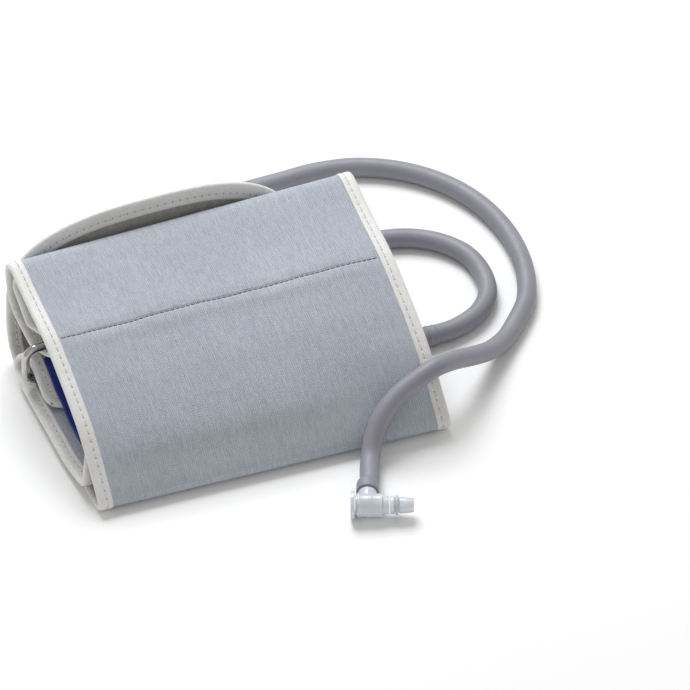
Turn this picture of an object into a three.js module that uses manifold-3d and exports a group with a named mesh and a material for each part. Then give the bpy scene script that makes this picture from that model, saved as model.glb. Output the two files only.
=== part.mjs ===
// Upper-arm blood pressure cuff, closed through its ring and laid flat on a table, with its air hose
// and elbow plug. Millimetres. +X runs along the arm axis towards the hose end, -Y is the front and
// +Z is up. The cuff is one long fabric strip, so most pieces are ribbons that follow one path in the
// YZ plane and reach along X.
import * as THREE from 'three';
import { mergeVertices } from 'three/addons/utils/BufferGeometryUtils.js';
import Module from 'manifold-3d';

// Driving dimensions
const CUFF_WIDTH = 140; // along the arm
const BINDING_WIDTH = 5; // tape over each long edge
const BINDING_HALF_THICKNESS = 1.0;
const CLOTH = 0.4; // thickness of each fabric face
const CORE_HALF = 0.55; // half of the space between the two faces
const FILM_HALF = 0.25; // half thickness of the flat bladder and of its port
const BLADDER_WIDTH = 120;
const GAP = 0.3; // clearance between touching pieces
const WIRE_RADIUS = 1.6; // ring wire
const RING_SPAN = 15.8; // between the centres of the ring's two long wires
const RING_CORNER = 5;
const RING_STRAIGHT = 135; // straight length of the long wires
const RING_Y = 69;
const RING_LOWER_Z = 9;
const FLARE_LEFT = 2.7; // how far the outer wrap's foot stands forward of its path at each end
const FLARE_RIGHT = 9.4;
const HINGE = { y: 95.3, z: 18.9 }; // line where the closing tongue peels
const TONGUE_LEAN = THREE.MathUtils.degToRad(5);
const TONGUE_HEIGHT = 38.2;
const PORT_Z = 4.4; // height of the strip's middle where the hose leaves it
const HOSE_RADIUS = 3.75;
const HANK_FOLD = 45; // between the hank's two runs, three hose diameters of fold radius
const PLUG_TURN = THREE.MathUtils.degToRad(-22);
const PLUG_AT = { x: 23.5, y: -40.0, z: 5.4 };

// Path of the strip's middle, as [y, z], from the tab's end to the peel line
const STRIP = [
  [52, 7.3], [58, 8.4], [64, 11.2], [69, 13.3], [74.5, 14.3], [79.2, 12.7], // tab on the ring
  [80.7, 9.1], [78.3, 6], [72, 4.7],
  [66, 4.5], [58, 4.4], [42, 4.4], [28, 4.4], [16, 4.9], // lower run of the arm loop
  [10.6, 6.4], [9.7, 9.3], [12.9, 13.4], [19.7, 20.2], [30.1, 27], [36.4, 30.2], // upper run
  [47.6, 35.2], [60.8, 39.2], [70.6, 40.7], [80.5, 42.7],
  [86.6, 44], [89.9, 42.6], [89.2, 39.6], [83, 36.3], [75, 32], // back down to the ring
  [69.2, 29], [64.8, 24.9], [68.3, 20.6], [74, 21.2], [81, 24.4], [88, 28.6], [92.6, 33.6], // through it
  [94.3, 38.4], [94.9, 42.8], [93.9, 46.4], [90.9, 48.3], // over the top
  [86, 47.7], [80, 46.3], [70.2, 44.2], [60.2, 42.6], [54.3, 41.3], // full front face
  [46.4, 38.4], [40.4, 35.7], [35, 33.3], [28.5, 29.9], [22.5, 26.5], [17.6, 22.8], [12.7, 18.4],
  [9.1, 14.5], [5.8, 11],
  [2.9, 7.6], [1.1, 4.4], [3, 1.9], [8, 1.35], // round the bottom fold
  [20, 1.3], [40, 1.3], [60, 1.3], [78, 1.3], [87, 2.2], [92.3, 6], [94.4, 11.5], [95.2, 17.6],
];

// Routes of the free hose's two stretches, as [x, y, z]
const EXIT_ROUTE = [
  [84.3, 40, 4.2], [92, 40.6, 4], [103, 45, 3.9], [111, 53.5, 3.8], [114, 65, 3.75], [112.5, 78, 3.75],
  [105, 89, 3.75], [94, 96, 3.75], [82, 98.8, 3.75], [72, 99.2, 3.75], [62.5, 99.2, 3.75],
];
const FRONT_ROUTE = [
  [62.5, 144.2, 3.75], [76, 144.2, 3.75], [92, 141, 3.75], [108, 132, 3.75], [121, 118, 3.75],
  [129, 101, 3.75], [132, 82, 3.75], [130, 62, 3.75], [124, 46, 3.75], [116, 36, 3.8], [108, 28, 4.2],
  [98.6, 20.3, 7.8], [88.4, 13.5, 14], [77.7, 7.1, 20.8], [67.7, 2, 24.5], [59.3, 0.3, 22.2],
  [51, -1.8, 19.1], [44.5, -4.9, 15.5], [38.6, -9.3, 9.6], [34.9, -15, 5.2], [31.6, -22, 4.5],
  [29.1, -28.2, 4.7],
];

const wasm = await Module();
wasm.setup();

const FABRIC = { color: 0xabb1bd, roughness: 0.85, metalness: 0 };
const PILE = { color: 0x8f8d88, roughness: 0.95, metalness: 0 };
const TAPE = { color: 0xeceae4, roughness: 0.6, metalness: 0 };
const THREAD = { color: 0xf4f2ec, roughness: 0.7, metalness: 0 };
const FILM = { color: 0x9aa4ad, roughness: 0.4, metalness: 0 };
const METAL = { color: 0xc9c6bd, roughness: 0.22, metalness: 1 };
const BLUE = { color: 0x1f2f8f, roughness: 0.5, metalness: 0 };
const RUBBER = { color: 0x8f9099, roughness: 0.6, metalness: 0 };
const CLEAR = { color: 0xdfe6ee, roughness: 0.25, metalness: 0 };
const SEAL = { color: 0xb9c4cf, roughness: 0.5, metalness: 0 };

function piece(name, geometry, look) {
  const mesh = new THREE.Mesh(geometry, new THREE.MeshStandardMaterial(look));
  mesh.name = name;
  return mesh;
}

// Solid geometry from a mesh and back again, for the few cuts that the pieces need
function toSolid(geometry) {
  const bare = geometry.clone();
  bare.deleteAttribute('normal');
  bare.deleteAttribute('uv');
  const merged = mergeVertices(bare, 1e-4);
  const vertProperties = new Float32Array(merged.attributes.position.array);
  const triVerts = new Uint32Array(merged.index.array);
  return new wasm.Manifold(new wasm.Mesh({ numProp: 3, vertProperties, triVerts }));
}

function fromSolid(solid) {
  const mesh = solid.getMesh();
  const geometry = new THREE.BufferGeometry();
  geometry.setAttribute('position', new THREE.BufferAttribute(mesh.vertProperties, 3));
  geometry.setIndex(new THREE.BufferAttribute(mesh.triVerts, 1));
  geometry.computeVertexNormals();
  return geometry;
}

function box(x0, x1, y0, y1, z0, z1) {
  const geometry = new THREE.BoxGeometry(x1 - x0, y1 - y0, z1 - z0);
  return geometry.translate((x0 + x1) / 2, (y0 + y1) / 2, (z0 + z1) / 2);
}

// Points of a smooth curve through [y, z] points, close together only where the path bends
function samplePath(points) {
  const curve = new THREE.CatmullRomCurve3(points.map(([y, z]) => new THREE.Vector3(0, y, z)));
  curve.arcLengthDivisions = 2000;
  const length = curve.getLength();
  const steps = Math.ceil(length / 0.8);
  const samples = [];
  for (let i = 0; i <= steps; i += 1) {
    const at = curve.getPointAt(i / steps);
    const along = curve.getTangentAt(i / steps);
    const last = samples[samples.length - 1];
    const turned = last ? Math.acos(Math.min(1, last.ty * along.y + last.tz * along.z)) : 9;
    const run = last ? Math.hypot(at.y - last.y, at.z - last.z) : 99;
    if (turned > 0.22 || run > 7 || i === steps) {
      samples.push({ y: at.y, z: at.z, ty: along.y, tz: along.z, s: (i / steps) * length });
    }
  }
  return samples;
}

// The outer wrap widens towards the hose end: how far forward of the path it lies at x and s
function flare(samples, x, s) {
  const top = placeOf(samples, 90.9, 48.3);
  const nose = placeOf(samples, 1.1, 4.4);
  const end = placeOf(samples, 60, 1.3);
  const share = s < nose ? (s - top) / (nose - top) : (end - s) / (end - nose);
  const foot = FLARE_LEFT + (FLARE_RIGHT - FLARE_LEFT) * (x / CUFF_WIDTH + 0.5);
  return foot * Math.max(0, share);
}

// A ribbon on a sampled path: from side offset low to high, positive towards the woven side, and
// from x0 to x1, between two places along the path
function ribbon(samples, low, high, x0, x1, from = -1, to = 1e9, path = samples) {
  const used = samples.filter((p) => p.s >= from && p.s <= to);
  const corners = [[x0, low], [x1, low], [x1, high], [x0, high]];
  const positions = [];
  used.forEach((p) => corners.forEach(([x, d]) => {
    positions.push(x, p.y + d * p.tz - flare(path, x, p.s), p.z - d * p.ty);
  }));
  const index = [0, 2, 1, 0, 3, 2];
  for (let i = 0; i < used.length - 1; i += 1) {
    for (let k = 0; k < 4; k += 1) {
      const a = 4 * i + k;
      const b = 4 * i + ((k + 1) % 4);
      index.push(a, b + 4, a + 4, a, b, b + 4);
    }
  }
  const end = 4 * (used.length - 1);
  index.push(end, end + 1, end + 2, end, end + 2, end + 3);
  const geometry = new THREE.BufferGeometry();
  geometry.setAttribute('position', new THREE.Float32BufferAttribute(positions, 3));
  geometry.setIndex(index);
  geometry.computeVertexNormals();
  return geometry;
}

// How far along the path a sample lies that is nearest to a [y, z] point
function placeOf(samples, y, z) {
  const gap = (p) => Math.hypot(p.y - y, p.z - z);
  return samples.reduce((best, p) => (gap(p) < gap(best) ? p : best)).s;
}

function tube(route, radius, sides, stepLength) {
  const curve = new THREE.CatmullRomCurve3(route.map((p) => new THREE.Vector3(...p)));
  const section = new THREE.Shape();
  for (let i = 0; i < sides; i += 1) {
    const angle = (2 * Math.PI * i) / sides;
    section[i ? 'lineTo' : 'moveTo'](radius * Math.cos(angle), radius * Math.sin(angle));
  }
  section.closePath();
  const steps = Math.round(curve.getLength() / stepLength);
  return new THREE.ExtrudeGeometry(section, { steps, extrudePath: curve, bevelEnabled: false });
}

// Solid of revolution about +X from [x, r] points that start and end on the axis, or close up
function turned(profile, segments = 20) {
  const points = profile.map(([x, r]) => new THREE.Vector2(r, x));
  return new THREE.LatheGeometry(points, segments).rotateZ(-Math.PI / 2);
}

// The ring's centre line: a long rounded rectangle in an XZ plane
class RingLine extends THREE.Curve {
  getPoint(t) {
    const rise = RING_SPAN - 2 * RING_CORNER;
    const bend = (Math.PI / 2) * RING_CORNER;
    const runs = [RING_STRAIGHT, bend, rise, bend, RING_STRAIGHT, bend, rise, bend];
    let left = (t % 1) * runs.reduce((sum, run) => sum + run, 0);
    let x = -RING_STRAIGHT / 2;
    let z = RING_LOWER_Z;
    let heading = 0;
    for (let i = 0; i < runs.length; i += 1) {
      const run = Math.min(left, runs[i]);
      if (i % 2) {
        const turn = run / RING_CORNER;
        x += RING_CORNER * (Math.sin(heading + turn) - Math.sin(heading));
        z += RING_CORNER * (Math.cos(heading) - Math.cos(heading + turn));
        heading += turn;
      } else {
        x += run * Math.cos(heading);
        z += run * Math.sin(heading);
      }
      left -= run;
      if (left <= 0) break;
    }
    return new THREE.Vector3(x, RING_Y, z);
  }
}

// Outline of the closing tongue, [x, h] with h up from the peel line, pulled in by inset
function tongueOutline(inset) {
  const centre = -11;
  const halfWidth = 58.6 - inset;
  const base = 3;
  const height = TONGUE_HEIGHT - base - inset;
  const power = 2 / 2.7;
  const edge = CUFF_WIDTH / 2 - inset;
  const outline = [new THREE.Vector2(edge, 1)];
  for (let i = 2; i <= 22; i += 1) {
    const angle = (Math.PI * i) / 24;
    const across = Math.abs(Math.cos(angle)) ** power * Math.sign(Math.cos(angle));
    outline.push(new THREE.Vector2(centre + halfWidth * across, base + height * Math.sin(angle) ** power));
  }
  outline.push(new THREE.Vector2(-edge, 1));
  return outline;
}

// A flat piece of the tongue between two depths, positive towards the woven side at the back
function tonguePlate(outline, low, high) {
  const geometry = new THREE.ExtrudeGeometry(new THREE.Shape(outline), {
    depth: high - low, bevelEnabled: false,
  });
  const up = new THREE.Vector3(0, Math.sin(TONGUE_LEAN), Math.cos(TONGUE_LEAN));
  const right = new THREE.Vector3(1, 0, 0);
  const front = new THREE.Vector3().crossVectors(right, up);
  geometry.translate(0, 0, -high);
  geometry.applyMatrix4(new THREE.Matrix4().makeBasis(right, up, front));
  return geometry.translate(0, HINGE.y, HINGE.z);
}

const strip = samplePath(STRIP);
const clothEdge = CUFF_WIDTH / 2 - BINDING_WIDTH - GAP;
const clothTop = CORE_HALF + CLOTH;
const frontTop = placeOf(strip, 86, 47.7);
const frontFoot = placeOf(strip, 5.8, 11);

function clothPieces() {
  const bladderFrom = placeOf(strip, 58, 4.4);
  const bladderTo = placeOf(strip, 78, 33.6);
  const half = BLADDER_WIDTH / 2;
  return [
    piece('woven_face', ribbon(strip, CORE_HALF, clothTop, -clothEdge, clothEdge), FABRIC),
    piece('pile_face', ribbon(strip, -clothTop, -CORE_HALF, -clothEdge, clothEdge), PILE),
    piece('bladder', ribbon(strip, -FILM_HALF, FILM_HALF, -half, half, bladderFrom, bladderTo), FILM),
  ];
}

function bindingPieces() {
  const edge = CUFF_WIDTH / 2;
  const inner = edge - BINDING_WIDTH;
  const tape = BINDING_HALF_THICKNESS;
  const right = toSolid(ribbon(strip, -tape, tape, inner, edge));
  const slot = FILM_HALF + GAP;
  const notch = toSolid(box(inner - 1, edge + 1, 36, 44, PORT_Z - slot, PORT_Z + slot));
  return [
    piece('binding_left', ribbon(strip, -tape, tape, -edge, -inner), TAPE),
    piece('binding_right', fromSolid(right.subtract(notch)), TAPE),
  ];
}

// Lines of thread on the front face: the cross seam, and the binding's stitch lines
function threadPieces() {
  const low = clothTop + GAP;
  const bindingLow = BINDING_HALF_THICKNESS + GAP;
  const line = CUFF_WIDTH / 2 - BINDING_WIDTH * 0.6;
  const edgeThread = (x) => ribbon(strip, bindingLow, bindingLow + 0.3, x - 0.3, x + 0.3, frontTop, frontFoot);
  const seamPlace = placeOf(strip, 54.3, 41.3);
  const at = strip.find((p) => p.s === seamPlace);
  const seamEnds = [-0.3, 0.3].map((k) => ({ ...at, y: at.y + k * at.ty, z: at.z + k * at.tz }));
  const seam = ribbon(seamEnds, low, low + 0.3, 1 - clothEdge, clothEdge - 1, -1, 1e9, strip);
  const tabThread = (y) => box(-clothEdge + 1, clothEdge - 1, y - 0.3, y + 0.3, 9.2, 9.5);
  return [
    piece('front_seam_thread', seam, THREAD),
    piece('binding_thread_left', edgeThread(-line), THREAD),
    piece('binding_thread_right', edgeThread(line), THREAD),
    piece('tab_thread', tabThread(53.2), THREAD),
  ];
}

// Printed range label, sewn inside the arm loop in front of the tab
function labelPiece() {
  return piece('range_label', box(-61, -20, 30, 49.5, 5.65, 5.95), BLUE);
}

function ringPiece() {
  return piece('d_ring', new THREE.TubeGeometry(new RingLine(), 96, WIRE_RADIUS, 8, true), METAL);
}

function tonguePieces() {
  const tape = BINDING_HALF_THICKNESS;
  const band = [...tongueOutline(0), ...tongueOutline(BINDING_WIDTH - GAP).reverse()];
  const inside = tongueOutline(BINDING_WIDTH);
  const patch = new THREE.Shape([
    new THREE.Vector2(-52, 5), new THREE.Vector2(34, 5), new THREE.Vector2(34, 15), new THREE.Vector2(-52, 15),
  ]);
  return [
    piece('tongue_woven_face', tonguePlate(inside, CORE_HALF, clothTop), FABRIC),
    piece('tongue_pile_face', tonguePlate(inside, -clothTop, -CORE_HALF), PILE),
    piece('tongue_binding', tonguePlate(band, -tape, tape), TAPE),
    piece('hook_patch', tonguePlate(patch.getPoints(), -clothTop - GAP - 0.6, -clothTop - GAP), PILE),
  ];
}

// The bladder's flat port and nipple, and the tapered boot that the hose leaves through
function portPieces() {
  const edge = CUFF_WIDTH / 2;
  const flat = toSolid(
    box(BLADDER_WIDTH / 2 + GAP, edge + 1, 36.5, 43.5, PORT_Z - FILM_HALF, PORT_Z + FILM_HALF),
  );
  const nipple = toSolid(turned([[GAP, 0], [GAP, 1.8], [3.4, 1.5], [3.4, 0]], 16).translate(edge, 40, PORT_Z));
  const boot = turned([
    [1.3, 2.2], [1.3, 3.9], [3, 4.1], [14, 3.9], [14, 2.2], [1.3, 2.2],
  ]);
  return [
    piece('bladder_port', fromSolid(flat.add(nipple)), FILM),
    piece('hose_boot', boot.translate(edge, 40, PORT_Z), RUBBER),
  ];
}

function hosePieces() {
  const runY = EXIT_ROUTE[EXIT_ROUTE.length - 1][1];
  const radius = HANK_FOLD / 2 + HOSE_RADIUS;
  const middle = runY + HANK_FOLD / 2;
  const openEnd = EXIT_ROUTE[EXIT_ROUTE.length - 1][0] - GAP;
  const foldCentre = -26;
  const outline = new THREE.Shape();
  outline.moveTo(foldCentre, middle - radius);
  outline.lineTo(openEnd, middle - radius);
  outline.lineTo(openEnd, middle + radius);
  outline.lineTo(foldCentre, middle + radius);
  outline.absarc(foldCentre, middle, radius, Math.PI / 2, (3 * Math.PI) / 2, false);
  const hank = new THREE.ExtrudeGeometry(outline, {
    depth: 2 * HOSE_RADIUS, bevelEnabled: false, curveSegments: 12,
  });
  return [
    piece('hose_exit_run', tube(EXIT_ROUTE, HOSE_RADIUS, 8, 9), RUBBER),
    piece('hose_hank', hank, RUBBER),
    piece('hose_front_run', tube(FRONT_ROUTE, HOSE_RADIUS, 8, 9), RUBBER),
  ];
}

// Elbow plug: the hose comes in from behind and the nozzle leaves to the right
function plugPieces() {
  const plug = new THREE.Group();
  plug.position.set(PLUG_AT.x, PLUG_AT.y, PLUG_AT.z);
  plug.rotation.z = PLUG_TURN;
  const barrel = toSolid(turned([[-4.6, 0], [-4.6, 4.6], [5.6, 4.6], [5.6, 3.4], [8.2, 3.4], [8.2, 0]], 24));
  const neck = toSolid(turned([[0, 0], [0, 3.6], [6.6, 3.6], [6.6, 0]], 20).rotateZ(Math.PI / 2));
  const flange = turned([[-6.4, 0], [-6.4, 5.4], [-4.9, 5.4], [-4.9, 0]], 24);
  const nozzle = turned([
    [8.5, 0], [8.5, 3.4], [10.2, 3.4], [10.2, 2.7], [12, 2.7], [12, 3.2], [17.5, 2.6], [17.5, 0],
  ], 20);
  const seal = turned([[10.5, 3], [10.5, 3.7], [11.7, 3.7], [11.7, 3], [10.5, 3]], 24);
  const sleeve = turned([[6.9, 0], [6.9, 4.3], [11.4, 4.1], [11.4, 0]], 16).rotateZ(Math.PI / 2);
  plug.add(
    piece('plug_elbow', fromSolid(barrel.add(neck)), CLEAR),
    piece('plug_flange', flange, CLEAR),
    piece('plug_nozzle', nozzle, CLEAR),
    piece('nozzle_seal', seal, SEAL),
    piece('hose_sleeve', sleeve.translate(0, 0, -0.4), RUBBER),
  );
  return plug;
}

const cuff = new THREE.Group();
cuff.add(
  ...clothPieces(), ...bindingPieces(), ...threadPieces(), labelPiece(), ringPiece(),
  ...tonguePieces(), ...portPieces(),
);
const box3 = new THREE.Box3();
cuff.children.filter((mesh) => mesh.name !== 'hose_boot').forEach((mesh) => box3.expandByObject(mesh));
const hose = new THREE.Group();
hose.add(...hosePieces(), plugPieces());

const part = new THREE.Group();
part.add(cuff, hose);
cuff.position.z = -box3.min.z;
part.position.set(-(box3.min.x + box3.max.x) / 2, -(box3.min.y + box3.max.y) / 2, 0);

export default part;
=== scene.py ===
"""Upper-arm blood pressure cuff, closed through its ring, with its air hose and elbow plug."""
import math

import bmesh
import bpy
import numpy as np
from mathutils import Matrix, Vector


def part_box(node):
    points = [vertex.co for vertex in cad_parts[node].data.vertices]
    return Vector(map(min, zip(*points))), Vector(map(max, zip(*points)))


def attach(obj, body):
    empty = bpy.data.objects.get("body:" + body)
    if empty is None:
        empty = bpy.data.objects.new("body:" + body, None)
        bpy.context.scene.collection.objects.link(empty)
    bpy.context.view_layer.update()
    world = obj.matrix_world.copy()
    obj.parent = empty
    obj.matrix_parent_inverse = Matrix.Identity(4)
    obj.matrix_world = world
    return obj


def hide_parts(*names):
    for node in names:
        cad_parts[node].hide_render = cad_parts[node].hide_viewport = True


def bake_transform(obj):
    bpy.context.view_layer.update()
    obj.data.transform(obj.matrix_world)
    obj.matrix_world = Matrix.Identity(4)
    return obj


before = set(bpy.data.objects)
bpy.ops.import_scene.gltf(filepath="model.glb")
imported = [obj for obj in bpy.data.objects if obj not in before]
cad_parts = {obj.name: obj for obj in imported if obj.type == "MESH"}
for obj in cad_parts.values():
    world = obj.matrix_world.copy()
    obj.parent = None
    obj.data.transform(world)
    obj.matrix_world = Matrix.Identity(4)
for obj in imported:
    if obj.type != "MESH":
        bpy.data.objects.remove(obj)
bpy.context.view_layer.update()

MM = 0.001


# ---------------------------------------------------------------- dimensions, in millimetres
HALF_WIDTH = 70.0
TAPE_WIDTH = 5.2
TONGUE_TAPE_EXTRA = 0.28  # how much broader the tape shows on the tongue, as a share
STITCH = 3.1  # pitch of the binding's stitches
STITCH_SHARE = 0.68  # how much of its pitch a stitch covers
STITCH_LINE = 3.0  # from the binding's outer edge
THREAD_RADIUS, SEAM_THREAD_RADIUS = 0.22, 0.14
FLARE_LEFT, FLARE_RIGHT = 2.7, 9.4  # how far the outer wrap's foot stands forward at each end
CLOTH_OUT = 0.95  # outside of each cloth face, from the strip's middle
CLOTH_IN = 0.35
HINGE = (95.3, 18.9)  # line where the closing tongue peels
TONGUE_LEAN = math.radians(5)
TONGUE_TOP = 38.2  # how far the tongue reaches past the peel line
TONGUE_CENTRE, TONGUE_HALF, TONGUE_LOW = -11.0, 58.6, 3.0  # its middle, half its width and its low side
TONGUE_POWER = 2.7  # how square its rounded outline is
SHOULDER = 57.0  # where the tongue's low side starts to fall to the strip's right edge
LOW_END = 60.0  # where its binding does
CLOTH_INSET = 1.2  # from the binding's edge to the cloth's
FLAT_STEP = 1.1  # between two rings of the binding
HOSE_R = 3.75
HOSE_EXIT = (71.5, 40, 4.15)
HANK_FOLD = 45.0
PLUG_TURN = math.radians(-22)
PLUG_AT = (23.5, -40.0, 5.4)
BOOT_RIB = 4.12  # radius of the boot's ribs
LABEL_LEFT, LABEL_RIGHT, LABEL_CORNER, LABEL_THICK = -64.6, -22.0, 2.5, 0.35
LABEL_STEP = 0.8
RING_Y, RING_LOW, RING_SPAN, RING_STRAIGHT, RING_CORNER, RING_WIRE = 69.0, 9.0, 15.8, 135.0, 5.0, 1.6

# Path of the strip's middle, as (y, z), from the tab's end to the peel line
STRIP = [
    (52, 7.3), (58, 8.4), (64, 11.2), (69, 13.3), (74.5, 14.3), (79.2, 12.7),
    (80.7, 9.1), (78.3, 6), (72, 4.7), (66, 4.5), (58, 4.4), (42, 4.4), (28, 4.4), (16, 4.9),
    (10.6, 6.4), (9.7, 9.3), (12.9, 13.4), (19.7, 20.2), (30.1, 27), (36.4, 30.2),
    (47.6, 35.2), (60.8, 39.2), (70.6, 40.7), (80.5, 42.7),
    (86.6, 44), (89.9, 42.6), (89.2, 39.6), (83, 36.3), (75, 32),
    (69.2, 29), (64.8, 24.9), (68.3, 20.6), (74, 21.2), (81, 24.4), (88, 28.6), (92.6, 33.6),
    (94.3, 38.4), (94.9, 42.8), (93.9, 46.4), (90.9, 48.3),
    (86, 47.7), (80, 46.3), (70.2, 44.2), (60.2, 42.6), (54.3, 41.3),
    (46.4, 38.4), (40.4, 35.7), (35, 33.3), (28.5, 29.9), (22.5, 26.5), (17.6, 22.8), (12.7, 18.4),
    (9.1, 14.5), (5.8, 11),
    (2.9, 7.6), (1.1, 4.4), (3, 1.9), (8, 1.35),
    (20, 1.3), (40, 1.3), (60, 1.3), (78, 1.3), (87, 2.2), (92.3, 6), (94.4, 11.5), (95.2, 17.6),
]

# Sideways shifts of the strip's two edges, as (y, z, left edge inwards, right edge inwards)
SHIFTS = [
    (52, 7.3, 0.8, 0), (74.5, 14.3, 0.8, 0), (80.7, 9.1, -2.5, 0), (72, 4.7, -3.2, 0), (28, 4.4, -3.4, 0),
    (9.7, 9.3, -2.2, 0), (19.7, 20.2, 3.4, 0), (80.5, 42.7, 3.4, 0), (89.2, 39.6, 0.8, 0),
    (75, 32, 0.8, 0.6), (69.2, 29, 5.5, 5), (64.8, 24.9, 7, 6), (68.3, 20.6, 6, 5), (74, 21.2, 2, 1),
    (88, 28.6, 0, 0),
]

# The free hose's route, as (x, y, z): out of the boot to the hank, and from the hank to the plug
EXIT_ROUTE = [
    (73, 40, 4.15), (84.3, 40, 4.2), (92, 40.6, 4), (103, 45, 3.9), (111, 53.5, 3.8), (114, 65, 3.75),
    (112.5, 78, 3.75), (105, 89, 3.75), (94, 96, 3.75), (82, 98.8, 3.75), (72, 99.2, 3.75),
    (62.5, 99.2, 3.75),
]
FRONT_ROUTE = [
    (62.5, 144.2, 3.75), (76, 144.2, 3.75), (92, 141, 3.75), (108, 132, 3.75), (121, 118, 3.75),
    (129, 101, 3.75), (132, 82, 3.75), (130, 62, 3.75), (124, 46, 3.75), (116, 36, 3.8), (108, 28, 4.2),
    (98.6, 20.3, 7.8), (88.4, 13.5, 14), (77.7, 7.1, 20.8), (67.7, 2, 24.5), (59.3, 0.3, 22.2),
    (51, -1.8, 19.1), (44.5, -4.9, 15.5), (38.6, -9.3, 9.6), (34.9, -15, 5.2), (31.6, -22, 4.5),
    (29.1, -28.2, 4.7), (26.9, -31.6, 5.0),
]
FOLD_CENTRE_X = -26.0

# The row frame's origin in the cuff's own millimetres, found from where the ring lies
ring_low, ring_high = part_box("d_ring")
ORIGIN_Y = RING_Y - (ring_low[1] + ring_high[1]) / 2 / MM
ORIGIN_Z = RING_LOW + RING_SPAN / 2 - (ring_low[2] + ring_high[2]) / 2 / MM


def row(x, y, z):
    """A point of the cuff's own millimetres in the row frame, in metres."""
    return Vector((x * MM, (y - ORIGIN_Y) * MM, z * MM))


# ---------------------------------------------------------------- camera and stage
def look_from(azimuth, elevation, target, distance, frame_width):
    """A long-lens camera whose picture is frame_width wide at the target."""
    a, e = math.radians(azimuth), math.radians(elevation)
    away = Vector((math.sin(a) * math.cos(e), -math.cos(a) * math.cos(e), math.sin(e)))
    data = bpy.data.cameras.new("camera")
    data.sensor_width = 36
    data.lens = 36 * distance / frame_width
    data.clip_start, data.clip_end = 0.05, 20
    camera = bpy.data.objects.new("camera", data)
    bpy.context.collection.objects.link(camera)
    camera.location = target + away * distance
    camera.rotation_euler = away.to_track_quat("Z", "Y").to_euler()
    bpy.context.scene.camera = camera


def area_light(name, location, target, size, power, colour=(1, 1, 1)):
    data = bpy.data.lights.new(name, "AREA")
    data.shape, data.size, data.energy, data.color = "SQUARE", size, power, colour
    light = bpy.data.objects.new(name, data)
    bpy.context.collection.objects.link(light)
    light.location = location
    light.rotation_euler = (Vector(location) - Vector(target)).to_track_quat("Z", "Y").to_euler()


def stage():
    look_from(azimuth=-22, elevation=42.45, target=row(32.3, 4.46, 46.5), distance=5.0, frame_width=0.2604)
    area_light("key", (0.1, 0.95, 1.3), (0, 0, 0), size=0.9, power=23.6, colour=(0.96, 0.98, 1))
    area_light("front_fill", (-0.9, -1.0, 0.8), (0, 0, 0.02), size=1.0, power=0.7)
    world = bpy.data.worlds.new("world")
    bpy.context.scene.world = world
    world.use_nodes = True
    world.node_tree.nodes["Background"].inputs["Color"].default_value = (1, 0.98, 0.95, 1)
    world.node_tree.nodes["Background"].inputs["Strength"].default_value = 0.5
    bpy.context.scene.view_settings.view_transform = "Standard"
    floor = mesh_object("floor", [(-4, -4, 0), (4, -4, 0), (4, 4, 0), (-4, 4, 0)], [(0, 1, 2, 3)])
    floor.data.materials.append(plain("floor", (0.93, 0.93, 0.93), 0.75))


# ---------------------------------------------------------------- mesh helpers
def mesh_object(name, points, faces, smooth=False):
    mesh = bpy.data.meshes.new(name)
    mesh.from_pydata([tuple(p) for p in points], [], [tuple(f) for f in faces])
    mesh.update()
    obj = bpy.data.objects.new(name, mesh)
    bpy.context.collection.objects.link(obj)
    if smooth:
        mesh.polygons.foreach_set("use_smooth", [True] * len(mesh.polygons))
    return obj


def face_out(obj):
    """Turns the faces of a closed mesh outwards."""
    bm = bmesh.new()
    bm.from_mesh(obj.data)
    bmesh.ops.recalc_face_normals(bm, faces=bm.faces)
    bm.to_mesh(obj.data)
    bm.free()


def finish_piece(obj, material, body, replaced=()):
    """Gives a piece its material, the body that carries it and the CAD nodes it stands for."""
    obj.data.materials.append(material)
    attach(obj, body)
    if replaced:
        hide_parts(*replaced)
    return obj


def catmull_rom(points, spacing):
    """Points at an even spacing on a centripetal Catmull-Rom curve through the given ones."""
    p = np.array(points, float)
    p = np.vstack([2 * p[0] - p[1], p, 2 * p[-1] - p[-2]])
    fine = []
    for i in range(1, len(p) - 2):
        four = p[i - 1:i + 3]
        t = np.concatenate([[0], np.cumsum(np.sqrt(np.linalg.norm(np.diff(four, axis=0), axis=1)))])
        u = np.linspace(t[1], t[2], 24, endpoint=False)[:, None]
        a = [four[k] * (t[k + 1] - u) / (t[k + 1] - t[k]) + four[k + 1] * (u - t[k]) / (t[k + 1] - t[k])
             for k in range(3)]
        b = [a[k] * (t[k + 2] - u) / (t[k + 2] - t[k]) + a[k + 1] * (u - t[k]) / (t[k + 2] - t[k])
             for k in range(2)]
        fine.append(b[0] * (t[2] - u) / (t[2] - t[1]) + b[1] * (u - t[1]) / (t[2] - t[1]))
    fine = np.vstack([*fine, p[-2]])
    at = np.concatenate([[0], np.cumsum(np.linalg.norm(np.diff(fine, axis=0), axis=1))])
    even = np.linspace(0, at[-1], max(2, int(round(at[-1] / spacing)) + 1))
    return np.stack([np.interp(even, at, fine[:, k]) for k in range(p.shape[1])], axis=1)


def sweep(name, rings, closed_path=False):
    """A smooth mesh from an array of rings of points, with capped ends unless the path is closed."""
    rings = np.asarray(rings)
    count, sides = rings.shape[:2]
    points = rings.reshape(-1, 3)
    faces = []
    for i in range(count if closed_path else count - 1):
        j = (i + 1) % count
        for k in range(sides):
            m = (k + 1) % sides
            faces.append((i * sides + k, i * sides + m, j * sides + m, j * sides + k))
    if not closed_path:
        faces.append(tuple(range(sides)))
        faces.append(tuple((count - 1) * sides + k for k in reversed(range(sides))))
    obj = mesh_object(name, points, faces, True)
    face_out(obj)
    return obj


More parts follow.
